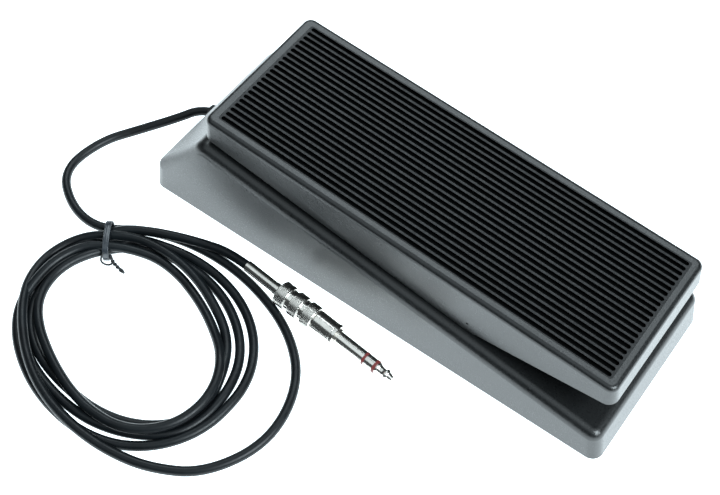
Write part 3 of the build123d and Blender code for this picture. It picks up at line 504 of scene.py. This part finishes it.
def barrel_rings():
    """Stations along the barrel, each with its radius and how deep its knurling is."""
    rings = [(20.7, NECK_R, 0)]
    for start, end, radius in KNURLS:
        rings += [(start - 0.25, NECK_R, 0), (start - 0.02, NECK_R, 0), (start, radius - 0.5, 0)]
        rings.append((start + 0.3, radius - 0.12, 0))
        for step in range(KNURL_STEPS + 1):
            station = start + 0.5 + (end - start - 1.0) * step / KNURL_STEPS
            rings.append((station, radius, KNURL_DEPTH))
        rings += [(end - 0.3, radius - 0.12, 0), (end, radius - 0.5, 0), (end + 0.02, NECK_R, 0)]
        rings.append((end + 0.25, NECK_R, 0))
    rings += [(43.0, NECK_R, 0), (43.05, BARREL_R - 0.2, 0), (43.25, BARREL_R, 0)]
    rings += [(43.5, BARREL_R, 0), (BARREL_END - 0.85, BARREL_R, 0)]
    rings += [(BARREL_END - 0.6, BARREL_R, 0), (BARREL_END - 0.2, BARREL_R - 0.15, 0)]
    return rings + [(BARREL_END, BARREL_R - 0.5, 0)]


def make_barrel():
    along = Vector((math.cos(PLUG_TURN), math.sin(PLUG_TURN), 0))
    across = Vector((-along.y, along.x, 0))
    pitch = 2 * math.pi / KNURL_TEETH
    verts, faces = [], []
    rings = barrel_rings()
    for station, radius, depth in rings:
        for side in range(SIDES):
            turn = 2 * math.pi * side / SIDES
            lead = station / KNURL_LEAD
            ridge_a = abs(((turn + lead) / pitch) % 1 - 0.5) * 2
            ridge_b = abs(((turn - lead) / pitch) % 1 - 0.5) * 2
            reach = radius - depth * (1 - min(ridge_a, ridge_b) if depth else 0)
            sideways = across * math.cos(turn) + Vector((0, 0, 1)) * math.sin(turn)
            verts.append((PLUG_REAR + along * station + sideways * reach) * MM)
    for ring in range(len(rings) - 1):
        for side in range(SIDES):
            a, b = ring * SIDES + side, ring * SIDES + (side + 1) % SIDES
            faces.append((a, a + SIDES, b + SIDES, b))
    faces.append(tuple(range(SIDES)))
    last = (len(rings) - 1) * SIDES
    faces.append(tuple(range(last + SIDES - 1, last - 1, -1)))
    barrel = add_mesh("knurled_barrel", verts, faces)
    for face in barrel.data.polygons:
        face.use_smooth = len(face.vertices) == 4
    return barrel


barrel = make_barrel()
finish(barrel, "plug_nickel", "housing")
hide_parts("plug_barrel")

dress_cad_nodes()


# ---------------------------------------------------------------- floor and light
COOL = (0.84, 0.95, 1.0)
FLOOR_HALF = 20.0
# Each softbox: name, place, the point it faces, size and power.
SOFTBOXES = [
    ("overhead", (-0.1, -0.5, 1.6), (0, 0, 0), (1.9, 1.5), 9),
    ("side", (1.5, -0.2, 1.3), (0, 0, 0), (1.0, 1.2), 66),
    ("back", (-0.55, 0.95, 1.6), (-0.55, 0, 0), (1.9, 0.8), 24),
]


def make_floor():
    data = bpy.data.meshes.new("floor")
    corners = [(x * FLOOR_HALF, y * FLOOR_HALF, 0) for x, y in ((-1, -1), (1, -1), (1, 1), (-1, 1))]
    data.from_pydata(corners, [], [(0, 1, 2, 3)])
    floor = bpy.data.objects.new("floor", data)
    bpy.context.collection.objects.link(floor)
    look = Look("floor_white")
    look.set(Base_Color=(0.86, 0.86, 0.86, 1), Roughness=0.9, Specular_IOR_Level=0.1)
    look.set(Emission_Color=(*COOL, 1), Emission_Strength=1.9)
    floor.data.materials.append(look.material)


def add_softbox(name, place, aim, size, power):
    data = bpy.data.lights.new(name, "AREA")
    data.shape = "RECTANGLE"
    data.size, data.size_y = size
    data.energy = power
    data.color = COOL
    light = bpy.data.objects.new(name, data)
    light.location = place
    light.rotation_euler = (Vector(aim) - Vector(place)).to_track_quat("-Z", "Y").to_euler()
    bpy.context.collection.objects.link(light)


make_floor()
world = bpy.data.worlds.new("studio")
world.use_nodes = True
background = world.node_tree.nodes["Background"]
background.inputs["Color"].default_value = (*COOL, 1)
background.inputs["Strength"].default_value = 0.07
bpy.context.scene.world = world
bpy.context.scene.view_settings.view_transform = "Standard"
for softbox in SOFTBOXES:
    add_softbox(*softbox)
